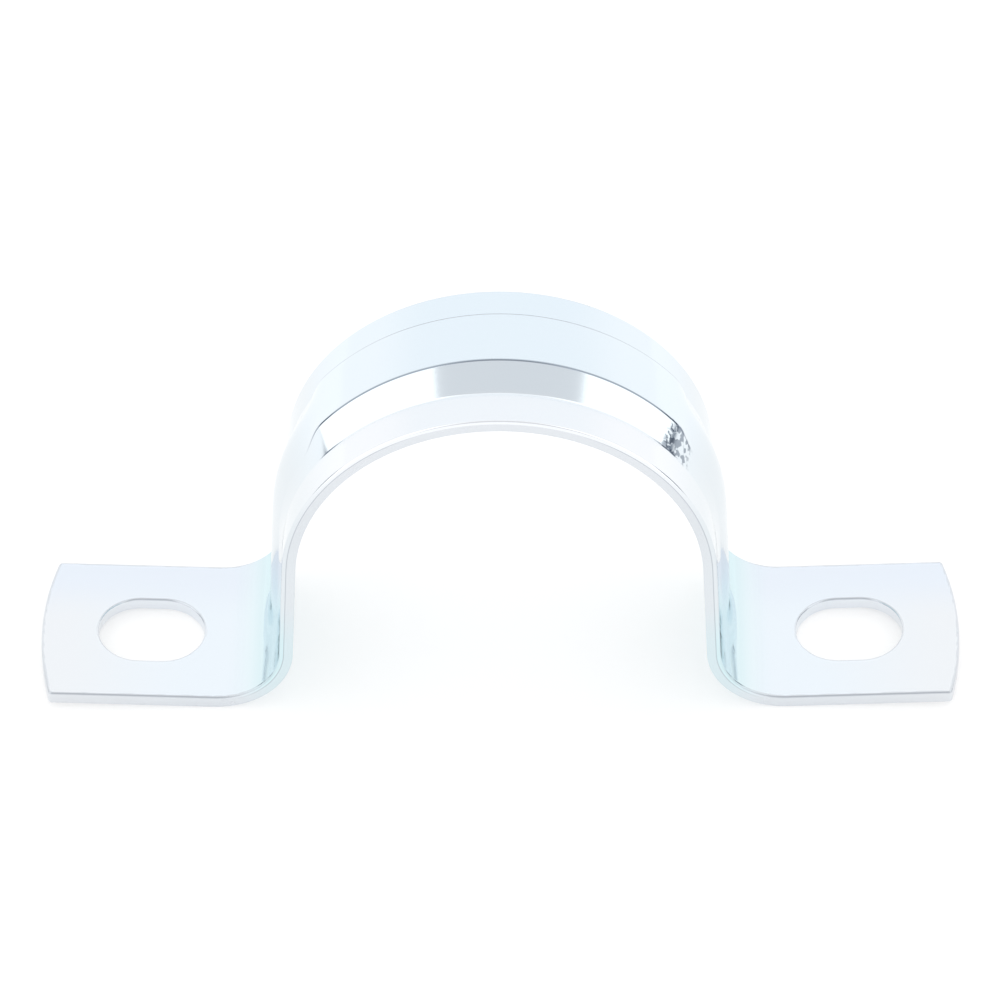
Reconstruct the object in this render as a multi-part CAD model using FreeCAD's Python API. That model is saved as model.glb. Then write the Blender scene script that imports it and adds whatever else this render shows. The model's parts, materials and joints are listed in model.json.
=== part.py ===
"""Two-hole saddle strap that clamps a round steel conduit against a wall.

The strap is one strip of plated sheet steel.  An arch goes over the conduit, a leg runs down on
each side, a fold turns each leg outwards, and each foot has one slot for a bolt.  A rib is pressed
outwards along the arch and the legs.  It is highest at the crown, lower on the legs, and runs out
in the folds.  Its hollow follows it on the inside.

Frame: X runs from foot to foot, Y along the conduit, Z away from the wall.  The origin is on the
wall plane, under the middle of the arch.  Lengths are in millimetres and angles in degrees.
"""
import FreeCAD
import Part
import math
import os

# Conduit and sheet
conduit_diameter = 44.2      # outside of the conduit that the arch holds
conduit_clearance = 0.1      # radial room between conduit and arch
sheet_thickness = 1.52       # 16 gauge
strap_width = 20.6           # along the conduit

# Arch, legs and folds
arch_centre_height = 20.1    # centre of the arch above the wall
leg_flare = 3.0              # how far each leg leans outwards
fold_radius = 7.2            # radius on the upper side of the fold

# Feet
foot_rise = 2.3              # how far each foot lifts towards its tip before it is bolted down
foot_length = 19.7           # from the end of the fold to the middle of the tip
tip_radius = 40.0            # plan radius of the foot's free end

# Slots
slot_length = 11.9           # end to end, along X
slot_width = 9.5
slot_setback = 12.34         # from the middle of the tip to the slot's centre

# Rib
rib_crown_height = 2.75      # how far it stands out at the crown
rib_leg_height = 1.3         # how far it stands out along the legs
rib_runout = 45.0            # how far round the fold it reaches
rib_land = 4.3               # flat band left on each side of the rib
rib_flank = 2.4              # width of each sloping flank
rib_blend = 0.4              # radius where a flank meets the land and the rib's top, at the crown

# Edges
edge_round = 0.25            # rolled edge that blanking leaves on the outer face


def vector(x, y, z):
    """A point or direction."""
    return FreeCAD.Vector(x, y, z)


def polar(centre, radius, angle):
    """The point of the XZ plane at a radius and an angle from +X, as an (x, z) pair."""
    turn = math.radians(angle)
    return centre[0] + radius * math.cos(turn), centre[1] + radius * math.sin(turn)


class Bend:
    """A round stretch of the sheet, seen along the conduit.

    The radius is that of the wall side of the sheet.  Outward is 1 where the sheet's outer face
    has the larger radius and -1 where it has the smaller one.
    """

    def __init__(self, centre, radius, start, end, outward):
        self.centre = centre
        self.radius = radius
        self.start = start
        self.end = end
        self.outward = outward

    def point(self, share, offset):
        """The point at a share of the stretch, offset from the sheet's wall side."""
        angle = self.start + (self.end - self.start) * share
        return polar(self.centre, self.radius + self.outward * offset, angle)

    def edge(self, offset, side):
        """The stretch as an edge on the +X or -X side."""
        points = [self.point(share, offset) for share in (0, 0.5, 1)]
        return Part.Arc(*[vector(side * x, 0, z) for x, z in points]).toShape()

    def controls(self, offset):
        """Rational quadratic controls, each (x, z, normal x, normal z, weight) times its weight."""
        radius = self.radius + self.outward * offset
        middle_weight = math.cos(math.radians(self.end - self.start) / 2)
        rows = []
        for share, weight in ((0, 1.0), (0.5, middle_weight), (1, 1.0)):
            along = polar((0, 0), 1, self.start + (self.end - self.start) * share)
            x, z = (self.centre[k] * weight + radius * along[k] for k in (0, 1))
            rows.append((x, z, self.outward * along[0], self.outward * along[1], weight))
        return rows


class Straight:
    """A flat stretch of the sheet, seen along the conduit, with its heading as an angle from +X."""

    def __init__(self, start, length, heading):
        self.start = start
        self.length = length
        self.heading = heading

    def point(self, share, offset):
        """The point at a share of the stretch, offset from the sheet's wall side."""
        return polar(polar(self.start, self.length * share, self.heading), offset, self.heading + 90)

    def edge(self, offset, side):
        """The stretch as an edge on the +X or -X side."""
        first, last = (self.point(share, offset) for share in (0, 1))
        return Part.LineSegment(vector(side * first[0], 0, first[1]), vector(side * last[0], 0, last[1])).toShape()

    def controls(self, offset):
        """Quadratic controls, each (x, z, normal x, normal z, weight)."""
        normal = polar((0, 0), 1, self.heading + 90)
        return [self.point(share, offset) + normal + (1.0,) for share in (0, 0.5, 1)]


# The sheet's path on the +X side
arch_centre = (0, arch_centre_height)
arch_inner_radius = conduit_diameter / 2 + conduit_clearance
fold_wall_radius = fold_radius + sheet_thickness
lean = math.radians(leg_flare)
arch = Bend(arch_centre, arch_inner_radius, 90, leg_flare, 1)
leg_top = arch.point(1, 0)
leg_length = (leg_top[1] - fold_wall_radius * (1 - math.sin(lean))) / math.cos(lean)
leg = Straight(leg_top, leg_length, leg_flare - 90)
fold_centre = polar(leg.point(1, 0), fold_wall_radius, leg_flare)
fold_start = 180 + leg_flare
fold = Bend(fold_centre, fold_wall_radius, fold_start, 270 + foot_rise, -1)
foot = Straight(fold.point(1, 0), foot_length, foot_rise)
strip_path = [arch, leg, fold, foot]

# The stretch that carries the rib, with the rib's height at each end of each piece
rib_path = [arch, leg, Bend(fold_centre, fold_wall_radius, fold_start, fold_start + rib_runout, -1)]
rib_heights = [(rib_crown_height, rib_leg_height), (rib_leg_height, rib_leg_height), (rib_leg_height, 0)]

# The rib's cross-section
flank_slope = math.atan2(rib_crown_height, rib_flank)
flank_inset = sheet_thickness * math.tan(flank_slope / 2)
blend_reach = rib_blend * math.tan(flank_slope / 2)
rib_root = strap_width / 2 - rib_land
rib_half_band = rib_root + 2 * blend_reach

tip = foot.point(1, 0)
slot_centre_x = tip[0] - slot_setback


def path_face(path, low, high):
    """The section of the sheet between two offsets along a path and its mirror image."""
    edges = []
    for side in (-1, 1):
        edges += [piece.edge(offset, side) for piece in path for offset in (low, high)]
        corners = [path[-1].point(1, offset) for offset in (low, high)]
        edges.append(Part.LineSegment(*[vector(side * x, 0, z) for x, z in corners]).toShape())
    return Part.Face(Part.Wire(Part.__sortEdges__(edges)))


def along_conduit(shape, half_width):
    """A shape drawn at Y = 0 and extruded evenly to both sides."""
    shape.translate(vector(0, -half_width, 0))
    return shape.extrude(vector(0, 2 * half_width, 0))


def upright_prism(outline):
    """A tall prism through a foot, over a closed outline that lies at Z = 0."""
    face = Part.Face(outline)
    face.translate(vector(0, 0, -arch_centre_height))
    return face.extrude(vector(0, 0, 2 * arch_centre_height))


def tip_cutter(side):
    """What lies outside the curved end of one foot."""
    half = strap_width
    corner_x = tip[0] - tip_radius + math.sqrt(tip_radius ** 2 - half ** 2)
    beyond_x = tip[0] + strap_width
    front, back = (vector(side * corner_x, y, 0) for y in (-half, half))
    far_front, far_back = (vector(side * beyond_x, y, 0) for y in (-half, half))
    return upright_prism(Part.Wire([
        Part.Arc(front, vector(side * tip[0], 0, 0), back).toShape(),
        Part.LineSegment(back, far_back).toShape(),
        Part.LineSegment(far_back, far_front).toShape(),
        Part.LineSegment(far_front, front).toShape(),
    ]))


def slot_cutter(side):
    """The slot's punch, upright, with round ends and its length along X."""
    radius = slot_width / 2
    centre = side * slot_centre_x
    left, right = (centre + sign * (slot_length / 2 - radius) for sign in (-1, 1))
    return upright_prism(Part.Wire([
        Part.LineSegment(vector(left, -radius, 0), vector(right, -radius, 0)).toShape(),
        Part.Arc(vector(right, -radius, 0), vector(right + radius, 0, 0), vector(right, radius, 0)).toShape(),
        Part.LineSegment(vector(right, radius, 0), vector(left, radius, 0)).toShape(),
        Part.Arc(vector(left, radius, 0), vector(left - radius, 0, 0), vector(left, -radius, 0)).toShape(),
    ]))


def outer_rim(strip):
    """Edges where the sheet's outer face meets a cut side, a tip or a slot."""
    lines = [piece.edge(sheet_thickness, side) for side in (-1, 1) for piece in strip_path]
    skin = along_conduit(Part.Wire(Part.__sortEdges__(lines)), strap_width / 2)
    rim = []
    for edge in strip.Edges:
        middle = (edge.FirstParameter + edge.LastParameter) / 2
        runs_across = isinstance(edge.Curve, Part.Line) and abs(edge.tangentAt(middle).y) > 0.9
        on_skin = skin.distToShape(Part.Vertex(edge.valueAt(middle)))[0] < edge_round / 100
        if on_skin and not runs_across:
            rim.append(edge)
    return rim


def blanked_strip():
    """The bent strip with curved tips, slots and the rolled edge of its outer face."""
    strip = along_conduit(path_face(strip_path, 0, sheet_thickness), strap_width / 2)
    for side in (-1, 1):
        strip = strip.cut([tip_cutter(side), slot_cutter(side)])
    return strip.makeFillet(edge_round, outer_rim(strip))


def rib_stations(inset):
    """Corners of the rib's cross-section from back to front, each (y, share of the rib's height).

    The inset narrows the hollow side of the pressed sheet.
    """
    root = rib_root - inset
    shoulder = root - rib_flank
    front = [(shoulder, 1), (root, 0), (rib_half_band, 0)]
    return [(-y, share) for y, share in reversed(front)] + front


def between(first, last, share):
    """The station at a share of the way from one station to another."""
    return tuple(a + (b - a) * share for a, b in zip(first, last))


def section_controls(stations):
    """Controls of the cross-section with its corners rounded, each (y, share of height, weight).

    Each straight run and each round corner is one group of three, a rational quadratic curve.
    """
    groups = []
    start = stations[0] + (1.0,)
    for before, corner, after in zip(stations, stations[1:], stations[2:]):
        leave, rejoin = (
            between(corner, other, blend_reach / math.hypot(
                other[0] - corner[0], rib_crown_height * (other[1] - corner[1]))) + (1.0,)
            for other in (before, after))
        groups.append([start, between(start, leave, 0.5), leave])
        groups.append([leave, corner + (math.cos(flank_slope / 2),), rejoin])
        start = rejoin
    last = stations[-1] + (1.0,)
    groups.append([start, between(start, last, 0.5), last])
    return groups


def bernstein_product(first, second):
    """Bernstein coefficients of the product of two polynomials given by their own."""
    m = len(first) - 1
    n = len(second) - 1
    product = []
    for total in range(m + n + 1):
        shares = [(i, total - i) for i in range(m + 1) if 0 <= total - i <= n]
        value = sum(math.comb(m, i) * math.comb(n, j) * first[i] * second[j] for i, j in shares)
        product.append(value / math.comb(m + n, total))
    return product


def rib_controls(piece, heights, offset):
    """Controls along one piece of the rib, each (x, z, rise x, rise z, weight) times its weight.

    The rise is the sheet's unit normal times the rib's height, which goes from one end of the
    piece to the other as a cubic that is level at both ends.
    """
    x, z, normal_x, normal_z, weight = zip(*piece.controls(offset))
    level = [1.0] * 4
    first, last = heights
    height = [first, first, last, last]
    columns = [bernstein_product(values, level) for values in (x, z)]
    columns += [bernstein_product(values, height) for values in (normal_x, normal_z)]
    columns.append(bernstein_product(weight, level))
    return list(zip(*columns))


def patch(along, across):
    """The exact rational surface swept by one group of a cross-section along one piece."""
    poles = []
    weights = []
    for x, z, rise_x, rise_z, weight in along:
        poles.append([
            vector((x + share * rise_x) / weight, y, (z + share * rise_z) / weight)
            for y, share, _ in across])
        weights.append([weight * section_weight for _, _, section_weight in across])
    knots = [[len(controls), len(controls)] for controls in (along, across)]
    surface = Part.BSplineSurface()
    surface.buildFromPolesMultsKnots(
        poles, *knots, [0, 1], [0, 1], False, False, len(along) - 1, len(across) - 1, weights)
    return surface


def ribbed_faces(piece, heights):
    """Faces of one piece of the ribbed band, in rows across it for the outer and the inner side."""
    sides = []
    for offset, inset in ((sheet_thickness, 0), (0, flank_inset)):
        along = rib_controls(piece, heights, offset)
        sides.append([patch(along, across) for across in section_controls(rib_stations(inset))])
    return sides


def face_between(first, last):
    """The face between two curves that run side by side."""
    return Part.makeRuledSurface(first.toShape(), last.toShape())


def ribbed_band():
    """The middle band of the arch and legs with the rib pressed into it, as a solid."""
    faces = []
    for piece, heights in zip(rib_path, rib_heights):
        outer, inner = ribbed_faces(piece, heights)
        faces += [surface.toShape() for surface in outer + inner]
        faces.append(face_between(outer[0].vIso(0), inner[0].vIso(0)))
        faces.append(face_between(outer[-1].vIso(1), inner[-1].vIso(1)))
    faces += [face_between(low.uIso(1), high.uIso(1)) for low, high in zip(inner, outer)]
    faces += [face.mirror(vector(0, 0, 0), vector(1, 0, 0)) for face in faces]
    shell = Part.makeShell(faces)
    shell.sewShape()
    return Part.makeSolid(shell)


def strap():
    """The whole strap: the plain strip with its middle band exchanged for the ribbed one."""
    clear = path_face(rib_path, -sheet_thickness / 2, 1.5 * sheet_thickness)
    lands = blanked_strip().cut(along_conduit(clear, rib_half_band))
    return lands.fuse(ribbed_band()).Solids[0]


os.makedirs("parts", exist_ok=True)
strap().exportStep("parts/strap.step")
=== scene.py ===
"""Looks of a zinc-plated two-hole conduit strap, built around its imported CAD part.

The strap is one bent and pressed strip.  Its skin is worked out on grids: a place on the strip is
given by its distance along the bent path, its place across the strip and its height above the
strip's wall side.  The faces, the sheared rims and the punched slots are all carried by that one
rule, so they meet exactly.
"""
import json
import logging
import math
from dataclasses import dataclass, field
from enum import Enum
from typing import Any

import bmesh
import bpy
import numpy as np
from mathutils import Matrix, Vector


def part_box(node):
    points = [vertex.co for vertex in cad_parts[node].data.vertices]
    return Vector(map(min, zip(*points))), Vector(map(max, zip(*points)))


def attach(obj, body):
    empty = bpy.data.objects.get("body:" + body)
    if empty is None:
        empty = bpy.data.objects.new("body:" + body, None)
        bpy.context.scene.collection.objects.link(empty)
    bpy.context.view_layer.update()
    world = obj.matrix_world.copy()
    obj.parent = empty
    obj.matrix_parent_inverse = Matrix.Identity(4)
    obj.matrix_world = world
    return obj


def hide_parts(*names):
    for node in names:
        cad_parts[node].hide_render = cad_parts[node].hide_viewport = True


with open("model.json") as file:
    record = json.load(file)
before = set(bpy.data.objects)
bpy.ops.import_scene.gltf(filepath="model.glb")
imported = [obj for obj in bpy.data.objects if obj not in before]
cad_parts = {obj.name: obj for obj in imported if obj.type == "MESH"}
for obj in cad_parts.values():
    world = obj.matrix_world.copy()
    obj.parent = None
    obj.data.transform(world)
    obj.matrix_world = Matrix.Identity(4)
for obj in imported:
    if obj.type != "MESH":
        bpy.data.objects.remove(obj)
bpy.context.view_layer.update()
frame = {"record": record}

MM = 0.001

Colour = tuple[float, float, float, float]
Span = tuple[float, float]

log = logging.getLogger("conduit_strap")


def smooth(share: np.ndarray) -> np.ndarray:
    """A cubic ease from 0 to 1, level at both ends.

    Args:
        share: The place between the ends, where 0 is the start and 1 the end.

    Returns:
        Three times the share's square less twice its cube, with the share kept between 0 and 1.
    """
    share = np.clip(share, 0.0, 1.0)
    return share * share * (3.0 - 2.0 * share)


def mount(name: str) -> dict[str, Any]:
    """The record's mount of that name."""
    return next(m for m in frame["record"]["mounts"] if m["name"] == name)


class Half(Enum):
    """The strap's two halves, each with the sign of its x."""

    RIGHT = 1
    LEFT = -1


class SheetFace(Enum):
    """The two faces of the sheet."""

    OUTER = "outer"
    WALL = "wall"


@dataclass
class Skin:
    """Points and quads gathered from several grids before they become one mesh."""

    points: list[np.ndarray] = field(default_factory=list)
    quads: list[np.ndarray] = field(default_factory=list)
    marks: dict[str, list[np.ndarray]] = field(default_factory=dict)
    count: int = 0

    def add_grid(self, points: np.ndarray, marks: dict[str, np.ndarray], closed: bool = False) -> None:
        """Add one grid of points, joined row to row and column to column.

        Args:
            points: Array of rows by columns by 3.
            marks: Arrays of rows by columns, with or without a last axis of 3, kept as attributes.
            closed: Join the last column to the first.
        """
        rows, columns = points.shape[:2]
        index = self.count + np.arange(rows * columns).reshape(rows, columns)
        if closed:
            index = np.concatenate([index, index[:, :1]], axis=1)
        corners = [index[:-1, :-1], index[:-1, 1:], index[1:, 1:], index[1:, :-1]]
        quads = np.stack(corners, axis=-1).reshape(-1, 4)
        self.points.append(points.reshape(-1, 3))
        self.quads.append(quads)
        for name, values in marks.items():
            self.marks.setdefault(name, []).append(values.reshape(rows * columns, -1))
        self.count += rows * columns

    def to_object(self, name: str, merge: float = 0.0) -> bpy.types.Object:
        """Make the mesh, merge the points that grids share and turn its faces outwards.

        Args:
            name: Name of the object and its mesh.
            merge: Distance under which points are one, or 0 for none.

        Returns:
            The object, linked to the scene, with smooth faces.
        """
        mesh = bpy.data.meshes.new(name)
        mesh.from_pydata(np.concatenate(self.points), [], np.concatenate(self.quads))
        for mark, parts in self.marks.items():
            values = np.concatenate(parts).astype(np.float32)
            if values.shape[1] == 1:
                mesh.attributes.new(mark, "FLOAT", "POINT").data.foreach_set("value", values.ravel())
            else:
                mesh.attributes.new(mark, "FLOAT_VECTOR", "POINT").data.foreach_set("vector", values.ravel())
        if merge:
            work = bmesh.new()
            work.from_mesh(mesh)
            bmesh.ops.remove_doubles(work, verts=work.verts, dist=merge)
            bmesh.ops.recalc_face_normals(work, faces=work.faces)
            work.to_mesh(mesh)
            work.free()
        mesh.shade_smooth()
        mesh.validate()
        thing = bpy.data.objects.new(name, mesh)
        bpy.context.scene.collection.objects.link(thing)
        return thing


@dataclass(frozen=True)
class SheetPath:
    """The wall side of the bent strip on its +X half, seen along the conduit."""

    arch_height: float
    arch_radius: float
    leg_flare: float
    fold_radius: float
    foot_rise: float
    length: float

    @property
    def arch_end(self) -> float:
        """Distance from the crown to the top of the leg."""
        return self.arch_radius * (math.pi / 2 - self.leg_flare)

    @property
    def leg_end(self) -> float:
        """Distance from the crown to the start of the fold, which is where the fold still clears the wall."""
        drop = self.arch_height + self.arch_radius * math.sin(self.leg_flare)
        drop -= self.fold_radius * (1 - math.sin(self.leg_flare))
        return self.arch_end + drop / math.cos(self.leg_flare)

    @property
    def fold_end(self) -> float:
        """Distance from the crown to the start of the flat foot."""
        return self.leg_end + self.fold_radius * (math.pi / 2 - self.leg_flare + self.foot_rise)

    def frame_at(self, distance: np.ndarray) -> tuple[np.ndarray, np.ndarray]:
        """Points and normals of the path.

        The arch is a circle about the conduit, the leg runs straight from it, the fold turns the
        other way about its own centre and the foot runs straight to the tip.

        Args:
            distance: Distances along the path from the crown.

        Returns:
            Points and unit normals, each with a last axis of (x, z).
        """
        flare = self.leg_flare
        turn = np.minimum(distance, self.arch_end) / self.arch_radius
        along_leg = np.clip(distance, self.arch_end, self.leg_end) - self.arch_end
        bend = (np.clip(distance, self.leg_end, self.fold_end) - self.leg_end) / self.fold_radius
        along_foot = np.maximum(distance, self.fold_end) - self.fold_end
        arch_angle = math.pi / 2 - turn
        arch = np.stack([np.sin(turn), np.cos(turn)], axis=-1) * self.arch_radius
        arch[..., 1] += self.arch_height
        leg = along_leg[..., None] * np.array([math.sin(flare), -math.cos(flare)])
        out = np.array([math.cos(flare), math.sin(flare)])
        fold_turn = np.stack([np.cos(flare + bend), np.sin(flare + bend)], axis=-1)
        fold = self.fold_radius * (out - fold_turn)
        foot = along_foot[..., None] * np.array([math.cos(self.foot_rise), math.sin(self.foot_rise)])
        angle = np.where(distance <= self.leg_end, arch_angle, flare + bend)
        return arch + leg + fold + foot, np.stack([np.cos(angle), np.sin(angle)], axis=-1)


@dataclass(frozen=True)
class Rib:
    """The pressed rib: its heights along the path and the shape of its cross-section.

    Over the arch the rib has a flat top and steep flanks.  Between the two angles of its soften
    field, from the crown, they ease into one low swell.
    """

    crown_height: float
    leg_height: float = 1.3 * MM
    runout: float = math.radians(45.0)
    root: float = 6.0 * MM
    flank: float = 2.4 * MM
    blend: float = 0.4 * MM
    soften: Span = (math.radians(48.0), math.radians(61.0))
    top_steps: int = 6
    blend_steps: int = 7
    land_steps: int = 5

    @property
    def slope(self) -> float:
        """The angle of the straight flank at the crown."""
        return math.atan2(self.crown_height, self.flank)

    def softness(self, path: SheetPath, distance: np.ndarray) -> np.ndarray:
        """How far the crisp section has given way to the swell, from 0 to 1."""
        start, end = (angle * path.arch_radius for angle in self.soften)
        return smooth((distance - start) / (end - start))

    def height(self, path: SheetPath, distance: np.ndarray) -> np.ndarray:
        """The rib's height, which eases from crown to leg round the arch and to nothing in the fold.

        Args:
            path: The strip's path.
            distance: Distances along the path.

        Returns:
            The height at each distance.
        """
        arch_share = smooth(distance / path.arch_end)
        fold_share = smooth((distance - path.leg_end) / (path.fold_radius * self.runout))
        return (self.crown_height + (self.leg_height - self.crown_height) * arch_share) * (1 - fold_share)

    def lift(self, path: SheetPath, distance: np.ndarray, across: np.ndarray, crisp: np.ndarray) -> np.ndarray:
        """Height of the rib at places on the strip.

        The share of the height passes from the crisp section's to that of a swell, which is half
        of one plus the cosine of a half turn at the rib's root.

        Args:
            path: The strip's path.
            distance: Distances along the path.
            across: Places across the strip.
            crisp: The crisp section's share of the height at each place.

        Returns:
            The height at each place.
        """
        swell = 0.5 + 0.5 * np.cos(np.clip(np.abs(across) / self.root, 0.0, 1.0) * math.pi)
        return self.height(path, distance) * (crisp + (swell - crisp) * self.softness(path, distance))

    def shoulder_reflection(self, path: SheetPath, distance: np.ndarray, share: np.ndarray) -> np.ndarray:
        """How far a place is on the crisp shoulder, where a painted dark reflection line lies: 1 over the
        middle of its round and 0 beyond it.

        Args:
            path: The strip's path.
            distance: Distances along the path.
            share: The crisp section's share of the height at each place.

        Returns:
            The painted dark reflection line's share at each place.
        """
        round_share = self.blend * (1 - math.cos(self.slope)) / self.crown_height
        middle = np.clip(2.0 - 2.0 * np.abs(2.0 * (1.0 - share) / round_share - 1.0), 0.0, 1.0)
        return middle * (1.0 - self.softness(path, distance))

    def section(self, thickness: float, edge: float) -> tuple[np.ndarray, np.ndarray]:
        """The cross-section from the back edge of the strip to its front edge.

        Half of it is a flat top, a round shoulder, a straight flank, a round root and a flat land.
        A round corner turns through the flank's slope about a centre one blend radius away.

        Args:
            thickness: The sheet's thickness for its inner side, which narrows the hollow, or 0.
            edge: Distance from the strip's middle to the end of the flat land.

        Returns:
            Places across the strip and the share of the rib's height there.
        """
        reach = self.blend * math.tan(self.slope / 2)
        root = self.root - thickness * math.tan(self.slope / 2)
        shoulder = root - self.flank
        turn = np.linspace(0.0, self.slope, self.blend_steps)
        across = np.concatenate([
            np.linspace(0.0, shoulder - reach, self.top_steps)[:-1],
            shoulder - reach + self.blend * np.sin(turn),
            root + reach - self.blend * np.sin(turn[::-1]),
            np.linspace(root + reach, edge - EdgeForm.support, self.land_steps)[1:],
            [edge]])
        rise = np.concatenate([
            np.full(self.top_steps - 1, self.crown_height),
            self.crown_height - self.blend * (1 - np.cos(turn)),
            self.blend * (1 - np.cos(turn[::-1])),
            np.zeros(self.land_steps)])
        return (np.concatenate([-across[:0:-1], across]),
                np.concatenate([rise[:0:-1], rise]) / self.crown_height)


@dataclass(frozen=True)
class EdgeForm:
    """The profile of a sheared rim: a rolled outer corner, a wall and a small inner corner.

    The support is how far inside a face its first row lies, which keeps the face flat.
    """

    rolled: float = 0.25 * MM
    burr: float = 0.08 * MM
    steps: int = 7
    support: float = 0.12 * MM
    # share of the painted dark reflection line on the feet's rim corners that face the front
    front_corner_reflection_share: float = 0.45
    slot_cut: float = 0.45

    def profile(self, thickness: float) -> tuple[np.ndarray, np.ndarray, np.ndarray]:
        """The rows of the rim, from the outer face to the wall side.

        Args:
            thickness: The sheet's thickness.

        Returns:
            How far each row lies inside the outline, its height above the wall side, and how far
            it is on a corner: the sine of twice the turn.
        """
        turn = np.linspace(0.0, math.pi / 2, self.steps)
        inside = np.concatenate([self.rolled * (1 - np.sin(turn)), self.burr * (1 - np.cos(turn))])
        height = np.concatenate([thickness - self.rolled * (1 - np.cos(turn)), self.burr * (1 - np.sin(turn))])
        return inside, height, np.tile(np.sin(2 * turn), 2)

    def front_corner_reflection(self, path: SheetPath, distance: np.ndarray, outward: np.ndarray) -> np.ndarray:
        """Share of the painted dark reflection line on a corner, which the feet have where their rims face the
        front.

        Args:
            path: The strip's path.
            distance: Distances along the path.
            outward: The rim's unit normals as (along, across).

        Returns:
            The line's share at each place.
        """
        on_foot = smooth((distance - path.leg_end) / path.fold_radius)
        return self.front_corner_reflection_share * on_foot * np.maximum(-outward[:, 1], 0.0)


@dataclass(frozen=True)
class Slot:
    """A round-ended slot, with its length along the strip."""

    length: float
    width: float

    def loop(self, angle: np.ndarray) -> tuple[np.ndarray, np.ndarray]:
        """The slot's outline where rays from its centre meet it, and the outline's normals.

        A ray meets a straight side where its height is half the width, or else the end circle
        that it heads for.

        Args:
            angle: Angles of the rays from the strip's direction.

        Returns:
            Points from the slot's centre and unit normals away from it.
        """
        radius = self.width / 2
        half_straight = (self.length - self.width) / 2
        ray = np.stack([np.cos(angle), np.sin(angle)], axis=-1)
        steep = np.maximum(np.abs(ray[:, 1]), 1e-9)
        side_points = ray * (radius / steep)[:, None]
        side_normals = np.stack([np.zeros_like(angle), np.sign(ray[:, 1])], axis=-1)
        on_side = np.abs(side_points[:, 0]) <= half_straight
        reach = half_straight * np.abs(ray[:, 0]) + np.sqrt(
            radius ** 2 - (half_straight * ray[:, 1]) ** 2)
        end_points = ray * reach[:, None]
        end_centres = np.stack([np.sign(ray[:, 0]) * half_straight, np.zeros_like(angle)], axis=-1)
        end_normals = (end_points - end_centres) / radius
        return (np.where(on_side[:, None], side_points, end_points),
                np.where(on_side[:, None], side_normals, end_normals))


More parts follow.
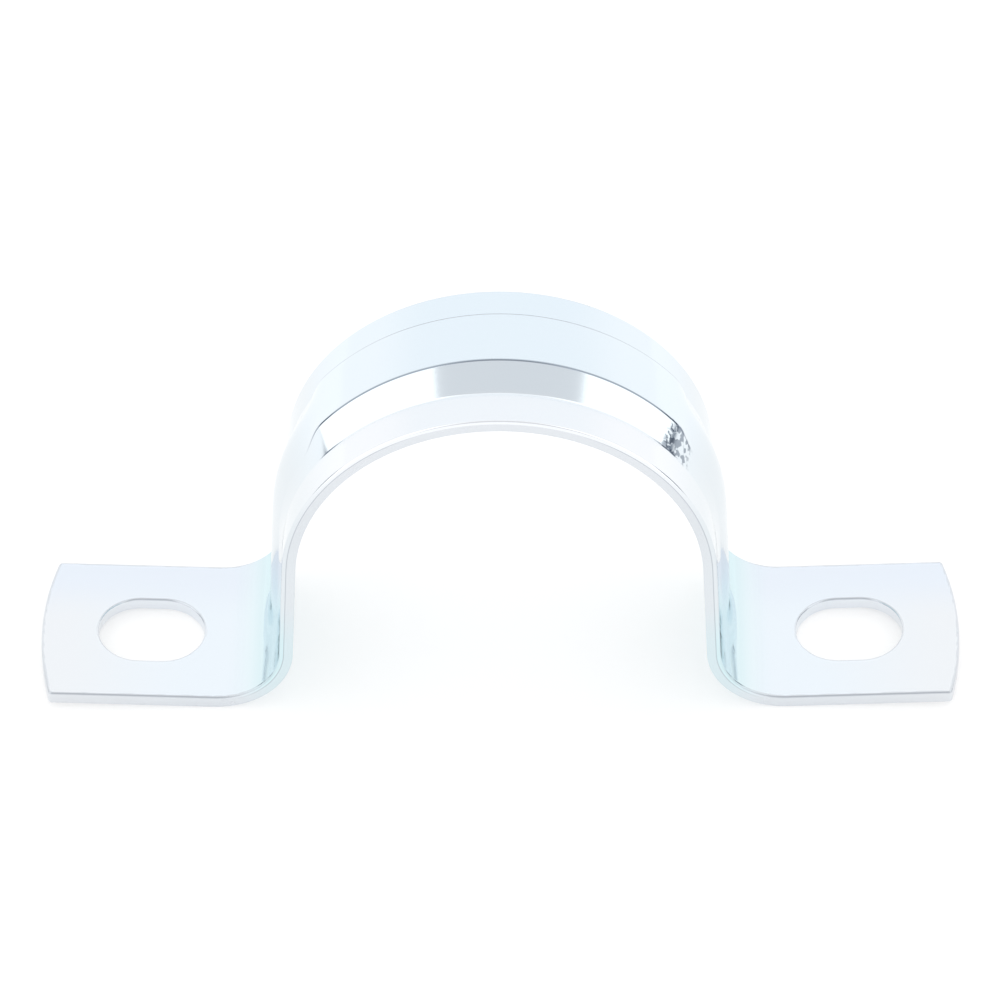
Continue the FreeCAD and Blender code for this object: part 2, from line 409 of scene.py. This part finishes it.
@dataclass
class StrapSheet:
    """The bent, pressed and punched strip.

    The steps say how finely each stretch of it is divided.
    """

    half_width: float
    conduit_radius: float
    seat_height: float
    slot: Slot
    slot_centre: float
    overall: float
    top: float
    thickness: float = 1.52 * MM
    leg_flare: float = math.radians(3.0)
    fold_radius: float = 8.72 * MM
    foot_rise: float = math.radians(2.3)
    tip_radius: float = 40.0 * MM
    corner: float = 0.45 * MM
    arch_steps: int = 100
    leg_steps: int = 12
    fold_steps: int = 40
    foot_steps: int = 22
    corner_steps: int = 7
    tip_steps: int = 31
    ring_steps: int = 9
    edge: EdgeForm = field(default_factory=EdgeForm)
    path: SheetPath = field(init=False)
    slot_place: float = field(init=False)
    rib: Rib = field(init=False)

    def __post_init__(self) -> None:
        """Work out the path, the slot's place along it and the rib's height.

        The foot's length is what the overall length leaves, and the rib's height is what the
        part's height leaves.  A rising foot carries the middle of its sheet inwards by half of
        the thickness times the sine of the rise.
        """
        plain = SheetPath(self.seat_height, self.conduit_radius, self.leg_flare,
                          self.fold_radius, self.foot_rise, 0.0)
        (foot_x, _), _ = plain.frame_at(np.array(plain.fold_end))
        lean = self.thickness * math.sin(self.foot_rise)
        foot = (self.overall / 2 - foot_x) / math.cos(self.foot_rise)
        self.path = SheetPath(self.seat_height, self.conduit_radius, self.leg_flare, self.fold_radius,
                              self.foot_rise, plain.fold_end + foot)
        self.slot_place = plain.fold_end + (self.slot_centre - foot_x + lean / 2) / math.cos(self.foot_rise)
        self.rib = Rib(self.top - self.seat_height - self.conduit_radius - self.thickness)

    def place(self, distance: np.ndarray, across: np.ndarray, height: np.ndarray, half: Half) -> np.ndarray:
        """Points in space for places on the strip: the path's point raised along its normal.

        Args:
            distance: Distances along the path.
            across: Places along the conduit.
            height: Heights above the sheet's wall side.
            half: The half of the strap.

        Returns:
            Points, with a last axis of 3.
        """
        point, normal = self.path.frame_at(distance)
        flat = point + normal * height[..., None]
        return np.stack([half.value * flat[..., 0], across, flat[..., 1]], axis=-1)

    def marks(self, distance: np.ndarray, across: np.ndarray, height: np.ndarray, half: Half,
              cut: float, line: np.ndarray | float) -> dict[str, np.ndarray]:
        """What the finish reads.

        Args:
            distance: Distances along the path.
            across: Places across the strip.
            height: Heights above the sheet's wall side.
            half: The half of the strap.
            cut: How grey a rim's cut is, and 0 off the rims.
            line: Share of the painted dark reflection line on the rib's crisp shoulders and on the feet's
                front corners.

        Returns:
            The place on the strip, the cut and the line, each at every point.
        """
        place = np.stack(np.broadcast_arrays(half.value * distance, across, height), axis=-1)
        shape = place.shape[:2]
        return {"strip_place": place, "cut": np.full(shape, cut), "line": np.broadcast_to(line, shape)}

    def stations(self) -> np.ndarray:
        """Distances at which the arch, leg and fold are divided."""
        path = self.path
        return np.concatenate([
            np.linspace(0.0, path.arch_end, self.arch_steps)[:-1],
            np.linspace(path.arch_end, path.leg_end, self.leg_steps)[:-1],
            np.linspace(path.leg_end, path.fold_end, self.fold_steps)])

    def outline(self) -> tuple[np.ndarray, np.ndarray]:
        """The strip's outline on one half, from the crown along the front, round the tip and back.

        The normal's angle goes from -90 to 90 degrees.  The sides are straight, the corners are
        arcs tangent to the side and to the tip, and the tip is an arc about a centre on the strip.

        Returns:
            Points as (distance, across) and the outline's unit normals.
        """
        tip_centre = self.path.length - self.tip_radius
        inner_reach = self.tip_radius - self.corner
        corner_across = self.half_width - self.corner
        corner_distance = tip_centre + math.sqrt(inner_reach ** 2 - corner_across ** 2)
        half_angle = math.asin(corner_across / inner_reach)
        along = np.concatenate([
            self.stations(), np.linspace(self.path.fold_end, corner_distance, self.foot_steps)[1:]])
        corner_turn = np.linspace(-math.pi / 2, -half_angle, self.corner_steps)[1:]
        tip_turn = np.linspace(-half_angle, half_angle, self.tip_steps)[1:-1]
        corner = np.stack([corner_distance + self.corner * np.cos(corner_turn),
                           -corner_across + self.corner * np.sin(corner_turn)], axis=-1)
        tip = np.stack([tip_centre + self.tip_radius * np.cos(tip_turn),
                        self.tip_radius * np.sin(tip_turn)], axis=-1)
        front = np.concatenate([np.stack([along, np.full_like(along, -self.half_width)], axis=-1), corner])
        front_turn = np.concatenate([np.full_like(along, -math.pi / 2), corner_turn])
        turn = np.concatenate([front_turn, tip_turn, -front_turn[::-1]])
        points = np.concatenate([front, tip, front[::-1] * [1, -1]])
        return points, np.stack([np.cos(turn), np.sin(turn)], axis=-1)

    def foot_loops(self, inset: float) -> tuple[np.ndarray, np.ndarray, np.ndarray, np.ndarray]:
        """The loop round a foot's flat face and the matching loop round its slot.

        Args:
            inset: How far the flat face stays inside the outline and outside the slot.

        Returns:
            The outer loop, its unit directions into the face, the slot's loop and its normals.
        """
        points, normals = self.outline()
        foot = points[:, 0] >= self.path.fold_end - 1e-9
        points, normals = points[foot], normals[foot]
        across, _ = self.rib.section(0.0, self.half_width - inset)
        seam = np.stack([np.full(len(across) - 2, self.path.fold_end), across[-2:0:-1]], axis=-1)
        inward = np.concatenate([-normals, np.tile([1.0, 0.0], (len(seam), 1))])
        inward[[0, len(points) - 1]] += [1.0, 0.0]
        outer = np.concatenate([points - normals * inset, seam])
        centre = np.array([self.slot_place, 0.0])
        rays = outer - centre
        ring, ring_normals = self.slot.loop(np.arctan2(rays[:, 1], rays[:, 0]))
        return outer, inward, centre + ring + ring_normals * inset, ring_normals

    def add_face(self, skin: Skin, half: Half, face: SheetFace) -> None:
        """One face of one half: the ribbed grid to the fold's end, then rings from slot to outline.

        Args:
            skin: The skin that takes the grids.
            half: The half of the strap.
            face: The face of the sheet.
        """
        outer = face is SheetFace.OUTER
        level = self.thickness if outer else 0.0
        inset = self.edge.rolled if outer else self.edge.burr
        across, share = self.rib.section(0.0 if outer else self.thickness, self.half_width - inset)
        distance, across = np.meshgrid(self.stations(), across)
        height = level + self.rib.lift(self.path, distance, across, share[:, None])
        # painted dark reflection line along the rib's crisp shoulders, on the outer face only
        shoulder_reflection = self.rib.shoulder_reflection(self.path, distance, share[:, None]) if outer else 0.0
        skin.add_grid(self.place(distance, across, height, half),
                      self.marks(distance, across, height, half, 0.0, shoulder_reflection))
        loop, inward, ring, outward = self.foot_loops(inset)
        support = self.edge.support
        first, last = ring + outward * support, loop + inward * support
        shares = np.linspace(0.0, 1.0, self.ring_steps)[:, None, None]
        rings = np.concatenate([ring[None], first + (last - first) * shares, loop[None]])
        flat = np.full(rings.shape[:2], level)
        skin.add_grid(self.place(rings[..., 0], rings[..., 1], flat, half),
                      self.marks(rings[..., 0], rings[..., 1], flat, half, 0.0, 0.0), closed=True)

    def add_rims(self, skin: Skin, half: Half) -> None:
        """The sheared rims of one half: the rim profile carried along the outline and the slot.

        Args:
            skin: The skin that takes the grids.
            half: The half of the strap.
        """
        inside, height, corner = self.edge.profile(self.thickness)
        points, normals = self.outline()
        _, _, ring, ring_normals = self.foot_loops(0.0)
        outline_loop = (points, normals, False, 1.0)
        slot_loop = (ring, -ring_normals, True, self.edge.slot_cut)
        for loop, outward, closed, cut in (outline_loop, slot_loop):
            rows = loop[None] - outward[None] * inside[:, None, None]
            level = np.broadcast_to(height[:, None], rows.shape[:2])
            # painted dark reflection line on the feet's rim corners that face the front
            line = corner[:, None] * self.edge.front_corner_reflection(self.path, rows[..., 0], outward)
            skin.add_grid(self.place(rows[..., 0], rows[..., 1], level, half),
                          self.marks(rows[..., 0], rows[..., 1], level, half, cut, line), closed=closed)

    def build(self) -> bpy.types.Object:
        """Join the faces and rims of both halves into one closed mesh.

        Returns:
            The strap.
        """
        skin = Skin()
        for half in Half:
            for face in SheetFace:
                self.add_face(skin, half, face)
            self.add_rims(skin, half)
        return skin.to_object("strap_sheet", merge=0.5e-6)


class Wire:
    """A shader socket that takes part in arithmetic, each operation adding one Math node."""

    def __init__(self, shader: "Shader", socket: bpy.types.NodeSocket | None) -> None:
        """Wrap one output socket of a shader's tree, or none for a node that ends the tree."""
        self.shader = shader
        self.socket = socket

    def _math(self, operation: str, *values: Any) -> "Wire":
        """A Math node on values in order."""
        return self.shader.node("ShaderNodeMath", {"operation": operation}, dict(enumerate(values)))

    def __add__(self, other: Any) -> "Wire":
        """Sum."""
        return self._math("ADD", self, other)

    def __sub__(self, other: Any) -> "Wire":
        """Difference."""
        return self._math("SUBTRACT", self, other)

    def __rsub__(self, other: Any) -> "Wire":
        """Difference from a number."""
        return self._math("SUBTRACT", other, self)

    def __mul__(self, other: Any) -> "Wire":
        """Product."""
        return self._math("MULTIPLY", self, other)

    def __truediv__(self, other: Any) -> "Wire":
        """Quotient."""
        return self._math("DIVIDE", self, other)

    __radd__ = __add__
    __rmul__ = __mul__

    def size(self) -> "Wire":
        """Distance from zero."""
        return self._math("ABSOLUTE", self)

    def ease(self, start: float, end: float) -> "Wire":
        """A smooth step from 0 to 1.

        Args:
            start: The value up to which the step is 0.
            end: The value from which it is 1.

        Returns:
            The step.
        """
        return self.shader.node("ShaderNodeMapRange", {"interpolation_type": "SMOOTHSTEP"},
                                {"Value": self, "From Min": start, "From Max": end})


class Shader:
    """A node tree for a material or the world, with one way to add a node."""

    def __init__(self, owner: Any) -> None:
        """Empty the owner's tree."""
        owner.use_nodes = True
        self.tree = owner.node_tree
        self.tree.nodes.clear()

    def node(self, kind: str, settings: dict[str, Any], values: dict[Any, Any], output: Any = 0) -> Wire:
        """Add one node.

        Args:
            kind: The node's type.
            settings: Its own properties, which are set first.
            values: Numbers, colours or wires for its input sockets, by name or index.
            output: Name or index of the output to return.

        Returns:
            The chosen output as a wire, which has no socket if the node has no output.
        """
        node = self.tree.nodes.new(kind)
        for name, value in settings.items():
            setattr(node, name, value)
        for name, value in values.items():
            if isinstance(value, Wire):
                self.tree.links.new(value.socket, node.inputs[name])
            else:
                node.inputs[name].default_value = value
        return Wire(self, node.outputs[output] if len(node.outputs) else None)

    def mix(self, factor: Any, first: Any, second: Any) -> Wire:
        """Blend two colours."""
        return self.node("ShaderNodeMix", {"data_type": "RGBA"}, {0: factor, 6: first, 7: second}, 2)

    def mark(self, name: str, output: str = "Fac") -> Wire:
        """One of the mesh's own attributes."""
        return self.node("ShaderNodeAttribute", {"attribute_name": name}, {}, output)

    def part(self, vector: Wire, axis: str) -> Wire:
        """One part of a vector."""
        return self.node("ShaderNodeSeparateXYZ", {}, {"Vector": vector}, axis)

    def noise(self, place: Wire, scale: float, detail: float) -> Wire:
        """A soft noise from 0 to 1."""
        return self.node("ShaderNodeTexNoise", {}, {"Vector": place, "Scale": scale, "Detail": detail})


@dataclass(frozen=True)
class ZincFinish:
    """Bright zinc plating with a clear passivate that is blue on the arch and greyer on the feet.

    Spans are distances along the strip from the crown, or across it where their names say so.  A
    span of two numbers is one smooth step, and a span of four is a step up and a step down.
    """

    arch: Colour = (0.81, 0.875, 0.93, 1.0)
    arch_cloud: Colour = (0.79, 0.87, 0.93, 1.0)
    # painted highlight: the front land is coloured lighter than the rib's top
    front_land_highlight: Colour = (0.87, 0.895, 0.93, 1.0)
    # painted shade: the legs are coloured darker and greyer than the arch
    leg: Colour = (0.745, 0.79, 0.82, 1.0)
    # painted shade and dark reflection in the folds, coloured dark teal
    fold: Colour = (0.66, 0.82, 0.855, 1.0)
    foot: Colour = (0.855, 0.90, 0.945, 1.0)
    foot_rear: Colour = (0.825, 0.865, 0.93, 1.0)
    tip: Colour = (0.875, 0.885, 0.905, 1.0)
    cut_grey: Colour = (0.70, 0.73, 0.765, 1.0)
    # grey of the painted dark reflection lines, also used for the rims' seam and the press marks
    line_grey: Colour = (0.22, 0.26, 0.32, 1.0)
    # where the painted shade on the legs comes in
    leg_shade_span: Span = (16.0 * MM, 28.0 * MM)
    fold_span: tuple[float, float, float, float] = (38.0 * MM, 46.0 * MM, 51.5 * MM, 59.0 * MM)
    tip_span: Span = (62.0 * MM, 79.0 * MM)
    land_highlight_span_across: Span = (5.6 * MM, 6.6 * MM)
    rear_span_across: Span = (1.0 * MM, 8.5 * MM)
    pale_rim_span: Span = (26.0 * MM, 36.0 * MM)
    seam_span: Span = (7.0 * MM, 14.0 * MM)
    seam_height: float = 1.02 * MM
    seam_half: float = 0.09 * MM
    dapple_span: tuple[float, float, float, float] = (17.9 * MM, 18.5 * MM, 21.8 * MM, 23.2 * MM)
    dapple_span_across: tuple[float, float, float, float] = (3.3 * MM, 3.6 * MM, 5.8 * MM, 6.2 * MM)
    dapple_spots: Span = (0.46, 0.60)
    dapple_scale: float = 1500.0
    dapple_height: float = 18.0
    cut_share: float = 0.8
    pale_rim_share: float = 0.5
    # strength of the painted dark reflection lines
    reflection_line_share: float = 0.9
    seam_share: float = 0.45
    dapple_share: float = 0.8
    cloud_scale: float = 90.0
    fine_scale: float = 2600.0
    drawn_scale: tuple[float, float, float] = (40.0, 2400.0, 2400.0)
    cloud_roughness: float = 0.05
    streak_roughness: float = 0.03
    streak_grain: float = 0.4
    fine_grain: float = 0.6
    grain_strength: float = 0.04
    grain_depth: float = 0.05 * MM
    roughness: float = 0.12
    cut_roughness: float = 0.28

    def plating(self, shader: Shader, place: Wire, along: Wire, cloud: Wire) -> Wire:
        """The plating's colour along the strip: a painted highlight on its front land, painted shade on its
        legs and in its folds, and its own tone on its feet.

        Args:
            shader: The material's shader.
            place: The place on the strip.
            along: Distance from the crown.
            cloud: A soft noise from 0 to 1.

        Returns:
            The colour.
        """
        across = shader.part(place, "Y")
        start, full, fading, end = self.fold_span
        colour = shader.mix(cloud, self.arch, self.arch_cloud)
        # painted highlight on the front land, in front of the rib's root
        colour = shader.mix((0.0 - across).ease(*self.land_highlight_span_across), colour, self.front_land_highlight)
        # painted shade on the legs
        colour = shader.mix(along.ease(*self.leg_shade_span), colour, self.leg)
        # painted shade and dark reflection in the folds
        colour = shader.mix(along.ease(start, full), colour, self.fold)
        foot = shader.mix(along.ease(*self.tip_span), self.foot, self.tip)
        foot = shader.mix(across.ease(*self.rear_span_across), foot, self.foot_rear)
        return shader.mix(along.ease(fading, end), colour, foot)

    def dapple(self, shader: Shader, place: Wire) -> Wire:
        """Small press marks in the front flank where the rib ends on the +X side.

        Args:
            shader: The material's shader.
            place: The place on the strip.

        Returns:
            How deep the marks are, from 0 to 1.
        """
        along = shader.part(place, "X")
        front = 0.0 - shader.part(place, "Y")
        start, full, fading, end = self.dapple_span
        inner, inner_full, outer_full, outer = self.dapple_span_across
        where = (along.ease(start, full) - along.ease(fading, end)) \
            * (front.ease(inner, inner_full) - front.ease(outer_full, outer))
        return shader.noise(place, self.dapple_scale, 1.0).ease(*self.dapple_spots) * where

    def material(self) -> bpy.types.Material:
        """The plating over the sheet, with its sheared rims and painted dark reflection lines on the rib's
        shoulders and the feet's front corners.

        Shearing rolls the outer part of a rim over: round the arch and down the legs that part is
        as bright as the face, and a dull seam parts it from the grey, rougher rest of the rim.

        Returns:
            The material.
        """
        material = bpy.data.materials.new("bright_zinc")
        shader = Shader(material)
        place = shader.mark("strip_place", "Vector")
        cut = shader.mark("cut")
        along = shader.part(place, "X").size()
        height = shader.part(place, "Z")
        drawn = shader.node("ShaderNodeMapping", {}, {"Vector": place, "Scale": self.drawn_scale})
        cloud = shader.noise(place, self.cloud_scale, 3.0)
        fine = shader.noise(place, self.fine_scale, 2.0)
        streak = shader.noise(drawn, 1.0, 2.0)
        dapple = self.dapple(shader, place)

        off_foot = 1.0 - along.ease(*self.fold_span[2:])
        rolled = height.ease(self.seam_height, self.seam_height + self.seam_half) * off_foot
        seam = 1.0 - (height - self.seam_height).size().ease(0.0, self.seam_half)
        seam = seam * cut * off_foot * along.ease(*self.seam_span)
        pale_rim = along.ease(*self.pale_rim_span) * off_foot * self.pale_rim_share
        grey = cut * (1.0 - rolled) * (1.0 - pale_rim)
        # painted dark reflection lines from the mesh's line mark, joined by the rims' seam and the press marks
        line = shader.mark("line") * self.reflection_line_share + seam * self.seam_share + dapple * self.dapple_share

        colour = self.plating(shader, place, along, cloud)
        colour = shader.mix(grey * self.cut_share, colour, self.cut_grey)
        colour = shader.mix(line, colour, self.line_grey)
        rough = self.roughness + (cloud - 0.5) * self.cloud_roughness + (streak - 0.5) * self.streak_roughness
        rough = rough + grey * (self.cut_roughness - self.roughness)
        grain = streak * self.streak_grain + fine * self.fine_grain + dapple * self.dapple_height
        bump = shader.node("ShaderNodeBump", {}, {
            "Height": grain, "Strength": self.grain_strength, "Distance": self.grain_depth})
        body = shader.node("ShaderNodeBsdfPrincipled", {}, {
            "Base Color": colour, "Metallic": 1.0, "Roughness": rough, "Normal": bump})
        shader.node("ShaderNodeOutputMaterial", {}, {"Surface": body})
        return material


@dataclass(frozen=True)
class Paper:
    """A plain finish for the studio's floor: one matt colour that also shines, as a lit table does."""

    name: str
    colour: Colour
    glow: float

    def material(self) -> bpy.types.Material:
        """Make the finish.

        Returns:
            The material.
        """
        material = bpy.data.materials.new(self.name)
        shader = Shader(material)
        body = shader.node("ShaderNodeBsdfPrincipled", {}, {
            "Base Color": self.colour, "Roughness": 0.9, "Specular IOR Level": 0.0,
            "Emission Color": (1.0, 1.0, 1.0, 1.0), "Emission Strength": self.glow})
        shader.node("ShaderNodeOutputMaterial", {}, {"Surface": body})
        return material


@dataclass(frozen=True)
class CardLight:
    """A card's even glow, which goes clear where the card's fade attribute is nothing."""

    name: str
    light: tuple[float, float, float]

    def material(self) -> bpy.types.Material:
        """Make the finish.

        Returns:
            The material.
        """
        material = bpy.data.materials.new(self.name)
        shader = Shader(material)
        glow = shader.node("ShaderNodeEmission", {}, {"Color": (*self.light, 1.0), "Strength": 1.0})
        clear = shader.node("ShaderNodeBsdfTransparent", {}, {})
        body = shader.node("ShaderNodeMixShader", {}, {0: shader.mark("fade"), 1: clear, 2: glow})
        shader.node("ShaderNodeOutputMaterial", {}, {"Surface": body})
        return material


@dataclass(frozen=True)
class Card:
    """A curved card in the studio that only the plating's reflections see.

    Directions are in degrees from the crown of the strap: round from the front towards +X, and up
    from the level.  The card fades out over its soft rim, whose two widths are in degrees too.
    """

    name: str
    turn: Span
    rise: Span
    light: tuple[float, float, float]
    soft: Span = (0.0, 0.0)
    reach: float = 0.7
    height: float = 40.0 * MM
    columns: int = 49
    rows: int = 33

    def fade(self, values: np.ndarray, ends: Span, soft: float) -> np.ndarray:
        """An ease from nothing at each end to the full card one soft rim further in.

        Args:
            values: Directions, in degrees.
            ends: The first and last of them.
            soft: The soft rim's width, or 0 for a hard rim.

        Returns:
            The card's share at each direction.
        """
        if not soft:
            return np.ones_like(values)
        return smooth((values - ends[0]) / soft) * smooth((ends[1] - values) / soft)

    def build(self) -> bpy.types.Object:
        """The card as a patch of a sphere: its radius times the direction at each turn and rise.

        What would lie under the floor is laid just over it.

        Returns:
            The card.
        """
        turn, rise = np.meshgrid(np.linspace(*self.turn, self.columns), np.linspace(*self.rise, self.rows))
        fade = self.fade(turn, self.turn, self.soft[0]) * self.fade(rise, self.rise, self.soft[1])
        turn, rise = np.radians(turn), np.radians(rise)
        points = np.stack([np.cos(rise) * np.sin(turn), -np.cos(rise) * np.cos(turn), np.sin(rise)], axis=-1)
        points = points * self.reach + [0.0, 0.0, self.height]
        points[..., 2] = np.maximum(points[..., 2], MM)
        skin = Skin()
        skin.add_grid(points, {"fade": fade})
        card = skin.to_object(self.name)
        card.data.materials.append(CardLight(self.name, self.light).material())
        card.visible_camera = False
        card.visible_diffuse = False
        card.visible_shadow = False
        return card


@dataclass
class Studio:
    """A plain pale floor, soft light and the camera."""

    elevation: float = math.radians(44.33)
    yaw: float = math.radians(0.421)
    roll: float = math.radians(-0.369)
    distance: float = 595.5 * MM
    target: tuple[float, float, float] = (0.00005, 0.0, 0.02212)
    lens: float = 195.1
    sensor: float = 36.0
    clip: Span = (0.01, 50.0)
    floor_half: float = 3.0
    cards: tuple[Card, ...] = (
        Card("front_card", (-31.5, 41.0), (14.0, 75.0), (0.79, 0.79, 0.80)),
        Card("left_panel", (-91.0, -31.5), (-8.0, 62.0), (1.35, 1.35, 1.33), reach=0.72),
        Card("right_panel", (41.0, 84.0), (-8.0, 62.0), (1.35, 1.35, 1.33), reach=0.72),
        Card("left_gap", (-116.0, -85.0), (-7.5, 12.0), (0.18, 0.21, 0.26), (4.0, 6.0), reach=0.3),
        Card("right_gap", (78.0, 114.0), (-7.5, 14.0), (0.16, 0.19, 0.24), (4.0, 6.0), reach=0.3),
        Card("back_gap", (150.0, 210.0), (-3.0, 10.0), (0.28, 0.32, 0.38), (12.0, 5.0)),
        Card("top_card", (110.0, 250.0), (12.0, 84.0), (1.01, 1.034, 1.05), (36.0, 22.0)),
    )

    floor_finish: Paper = Paper("pale_floor", (0.62, 0.62, 0.62, 1.0), 0.45)
    floor_gap: float = 0.02 * MM
    surroundings: float = 1.08

    def floor(self) -> bpy.types.Object:
        """A flat square grid at the wall plane, a hair under the feet.

        Returns:
            The floor.
        """
        edge = np.linspace(-self.floor_half, self.floor_half, 3)
        x, y = np.meshgrid(edge, edge)
        skin = Skin()
        skin.add_grid(np.stack([x, y, np.full_like(x, -self.floor_gap)], axis=-1), {})
        floor = skin.to_object("studio_floor")
        floor.data.materials.append(self.floor_finish.material())
        return floor

    def world(self) -> bpy.types.World:
        """White surroundings that light the strap evenly.

        Returns:
            The world.
        """
        world = bpy.data.worlds.new("studio")
        bpy.context.scene.world = world
        shader = Shader(world)
        glow = shader.node("ShaderNodeBackground", {}, {
            "Color": (1.0, 1.0, 1.0, 1.0), "Strength": self.surroundings})
        shader.node("ShaderNodeOutputWorld", {}, {"Surface": glow})
        return world

    def camera(self) -> bpy.types.Object:
        """A long lens on the strap's front, from above.

        Returns:
            The camera.
        """
        back = Vector((math.sin(self.yaw) * math.cos(self.elevation),
                       -math.cos(self.yaw) * math.cos(self.elevation), math.sin(self.elevation)))
        level = Vector((math.cos(self.yaw), math.sin(self.yaw), 0.0))
        rise = back.cross(level)
        right = level * math.cos(self.roll) + rise * math.sin(self.roll)
        up = rise * math.cos(self.roll) - level * math.sin(self.roll)
        data = bpy.data.cameras.new("camera")
        data.lens = self.lens
        data.sensor_width = self.sensor
        data.clip_start, data.clip_end = self.clip
        camera = bpy.data.objects.new("camera", data)
        turn = Matrix((right, up, back)).transposed().to_4x4()
        camera.matrix_world = Matrix.Translation(Vector(self.target) + back * self.distance) @ turn
        bpy.context.scene.collection.objects.link(camera)
        bpy.context.scene.camera = camera
        bpy.context.scene.view_settings.view_transform = "Standard"
        return camera

    def build(self) -> list[Any]:
        """Set up the floor, the surroundings, the cards and the camera.

        Returns:
            What was set up, in that order.
        """
        return [self.floor(), self.world(), *(card.build() for card in self.cards), self.camera()]


def main() -> None:
    """Build the strap and its studio, and report each piece."""
    logging.basicConfig(level=logging.INFO, format="%(name)s: %(message)s")
    low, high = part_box("strap")
    seat = mount("conduit_seat")
    slots = mount("wall_slots")
    sheet = StrapSheet(
        half_width=seat["dims"]["length_mm"] * MM / 2,
        conduit_radius=seat["dims"]["r_mm"] * MM,
        seat_height=seat["pos_m"][2],
        slot=Slot(slots["dims"]["slot_length_mm"] * MM, slots["dims"]["hole_r_mm"] * MM * 2),
        slot_centre=slots["dims"]["spacing_x_mm"] * MM / 2,
        overall=high.x - low.x,
        top=high.z)
    strap = sheet.build()
    strap.data.materials.append(ZincFinish().material())
    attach(strap, "root")
    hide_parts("strap")
    log.info("%s: %d faces", strap.name, len(strap.data.polygons))
    for thing in Studio().build():
        log.info("studio: %s", thing.name)


if __name__ == "__main__":
    main()
